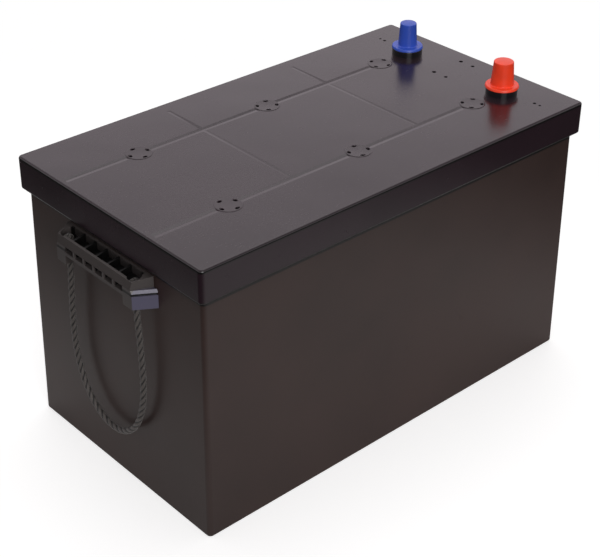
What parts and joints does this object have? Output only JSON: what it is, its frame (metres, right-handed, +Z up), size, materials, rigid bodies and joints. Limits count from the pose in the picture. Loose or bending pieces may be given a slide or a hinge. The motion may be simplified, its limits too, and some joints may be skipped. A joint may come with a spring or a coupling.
{
  "type": "deep cycle battery",
  "caption": "Sealed lead-acid leisure battery in a ribless block case, with screw vent plugs, capped tapered posts and a hanging rope handle at each end.",
  "frame": {"origin": "middle of the base, on the surface the battery stands on", "axes": "+X along the case towards the terminals, +Y towards the negative terminal's side, +Z up"},
  "size_m": [0.548, 0.288, 0.3422],
  "materials": {
    "case": "dark grey polypropylene, satin, faint mould flow",
    "lid": "dark grey polypropylene, semi-gloss",
    "vent_plug": "dark grey polypropylene, semi-gloss",
    "seal_rubber": "black sealing rubber, matt",
    "lead": "cast lead alloy, dull grey with brighter rubbed spots",
    "sealing_compound": "black sealing resin, slightly domed and glossy",
    "cap_negative": "blue moulded plastic, semi-gloss",
    "cap_positive": "red moulded plastic, semi-gloss",
    "positive_plate": "dark brown lead dioxide paste in a lead grid",
    "negative_plate": "grey spongy lead paste in a lead grid",
    "glass_mat": "white absorbent glass mat",
    "bracket": "dark grey polypropylene, fine mould texture",
    "rope": "black twisted polypropylene rope"
  },
  "bodies": {
    "battery": {"container": "case", "lid": "lid", "positive_plates_1": "positive_plate", "negative_plates_1": "negative_plate", "separator_1": "glass_mat", "positive_plates_2": "positive_plate", "negative_plates_2": "negative_plate", "separator_2": "glass_mat", "positive_plates_3": "positive_plate", "negative_plates_3": "negative_plate", "separator_3": "glass_mat", "positive_plates_4": "positive_plate", "negative_plates_4": "negative_plate", "separator_4": "glass_mat", "positive_plates_5": "positive_plate", "negative_plates_5": "negative_plate", "separator_5": "glass_mat", "positive_plates_6": "positive_plate", "negative_plates_6": "negative_plate", "separator_6": "glass_mat", "cell_link_1": "lead", "cell_link_2": "lead", "cell_link_3": "lead", "cell_link_4": "lead", "cell_link_5": "lead", "terminal_sleeve_negative": "lead", "terminal_pillar_negative": "lead", "terminal_seal_negative": "sealing_compound", "terminal_sleeve_positive": "lead", "terminal_pillar_positive": "lead", "terminal_seal_positive": "sealing_compound", "handle_bracket_plain_end": "bracket", "rope_knot_plain_end_left": "rope", "rope_knot_plain_end_right": "rope", "handle_bracket_terminal_end": "bracket", "rope_knot_terminal_end_left": "rope", "rope_knot_terminal_end_right": "rope"},
    "handle_plain_end": {"handle_rope_plain_end": "rope"},
    "handle_terminal_end": {"handle_rope_terminal_end": "rope"},
    "cap_negative": {"terminal_cap_negative": "cap_negative"},
    "cap_positive": {"terminal_cap_positive": "cap_positive"},
    "vent_lift_1": {"vent_ring_1": "seal_rubber", "vent_valve_1": "seal_rubber"},
    "vent_screw_1": {"vent_plug_1": "vent_plug"},
    "vent_lift_2": {"vent_ring_2": "seal_rubber", "vent_valve_2": "seal_rubber"},
    "vent_screw_2": {"vent_plug_2": "vent_plug"},
    "vent_lift_3": {"vent_ring_3": "seal_rubber", "vent_valve_3": "seal_rubber"},
    "vent_screw_3": {"vent_plug_3": "vent_plug"},
    "vent_lift_4": {"vent_ring_4": "seal_rubber", "vent_valve_4": "seal_rubber"},
    "vent_screw_4": {"vent_plug_4": "vent_plug"},
    "vent_lift_5": {"vent_ring_5": "seal_rubber", "vent_valve_5": "seal_rubber"},
    "vent_screw_5": {"vent_plug_5": "vent_plug"},
    "vent_lift_6": {"vent_ring_6": "seal_rubber", "vent_valve_6": "seal_rubber"},
    "vent_screw_6": {"vent_plug_6": "vent_plug"}
  },
  "joints": [
    {"name": "handle_plain_end_swing", "type": "hinge", "parent": "battery", "child": "handle_plain_end", "pos_m": [-0.2645, 0, 0.2307], "axis": [0, 1, 0], "range_deg": [-2, 150], "deforming": ["handle_rope_plain_end"]},
    {"name": "handle_terminal_end_swing", "type": "hinge", "parent": "battery", "child": "handle_terminal_end", "pos_m": [0.2645, 0, 0.2307], "axis": [0, -1, 0], "range_deg": [-2, 150], "deforming": ["handle_rope_terminal_end"]},
    {"name": "cap_negative_pull", "type": "slide", "parent": "battery", "child": "cap_negative", "axis": [0, 0, 1], "range_m": [0, 0.045]},
    {"name": "cap_positive_pull", "type": "slide", "parent": "battery", "child": "cap_positive", "axis": [0, 0, 1], "range_m": [0, 0.045]},
    {"name": "vent_1_rise", "type": "slide", "parent": "battery", "child": "vent_lift_1", "axis": [0, 0, 1], "range_m": [0, 0.0155]},
    {"name": "vent_1_turn", "type": "hinge", "parent": "vent_lift_1", "child": "vent_screw_1", "pos_m": [0.16633, 0.069, 0.305], "axis": [0, 0, 1], "range_deg": [0, 1800]},
    {"name": "vent_2_rise", "type": "slide", "parent": "battery", "child": "vent_lift_2", "axis": [0, 0, 1], "range_m": [0, 0.0155]},
    {"name": "vent_2_turn", "type": "hinge", "parent": "vent_lift_2", "child": "vent_screw_2", "pos_m": [0, 0.069, 0.305], "axis": [0, 0, 1], "range_deg": [0, 1800]},
    {"name": "vent_3_rise", "type": "slide", "parent": "battery", "child": "vent_lift_3", "axis": [0, 0, 1], "range_m": [0, 0.0155]},
    {"name": "vent_3_turn", "type": "hinge", "parent": "vent_lift_3", "child": "vent_screw_3", "pos_m": [-0.16633, 0.069, 0.305], "axis": [0, 0, 1], "range_deg": [0, 1800]},
    {"name": "vent_4_rise", "type": "slide", "parent": "battery", "child": "vent_lift_4", "axis": [0, 0, 1], "range_m": [0, 0.0155]},
    {"name": "vent_4_turn", "type": "hinge", "parent": "vent_lift_4", "child": "vent_screw_4", "pos_m": [-0.16633, -0.069, 0.305], "axis": [0, 0, 1], "range_deg": [0, 1800]},
    {"name": "vent_5_rise", "type": "slide", "parent": "battery", "child": "vent_lift_5", "axis": [0, 0, 1], "range_m": [0, 0.0155]},
    {"name": "vent_5_turn", "type": "hinge", "parent": "vent_lift_5", "child": "vent_screw_5", "pos_m": [0, -0.069, 0.305], "axis": [0, 0, 1], "range_deg": [0, 1800]},
    {"name": "vent_6_rise", "type": "slide", "parent": "battery", "child": "vent_lift_6", "axis": [0, 0, 1], "range_m": [0, 0.0155]},
    {"name": "vent_6_turn", "type": "hinge", "parent": "vent_lift_6", "child": "vent_screw_6", "pos_m": [0.16633, -0.069, 0.305], "axis": [0, 0, 1], "range_deg": [0, 1800]}
  ],
  "couplings": [
    {"joint": "vent_1_rise", "follows": "vent_1_turn", "m_per_rad": 0.00047746},
    {"joint": "vent_2_rise", "follows": "vent_2_turn", "m_per_rad": 0.00047746},
    {"joint": "vent_3_rise", "follows": "vent_3_turn", "m_per_rad": 0.00047746},
    {"joint": "vent_4_rise", "follows": "vent_4_turn", "m_per_rad": 0.00047746},
    {"joint": "vent_5_rise", "follows": "vent_5_turn", "m_per_rad": 0.00047746},
    {"joint": "vent_6_rise", "follows": "vent_6_turn", "m_per_rad": 0.00047746}
  ]
}
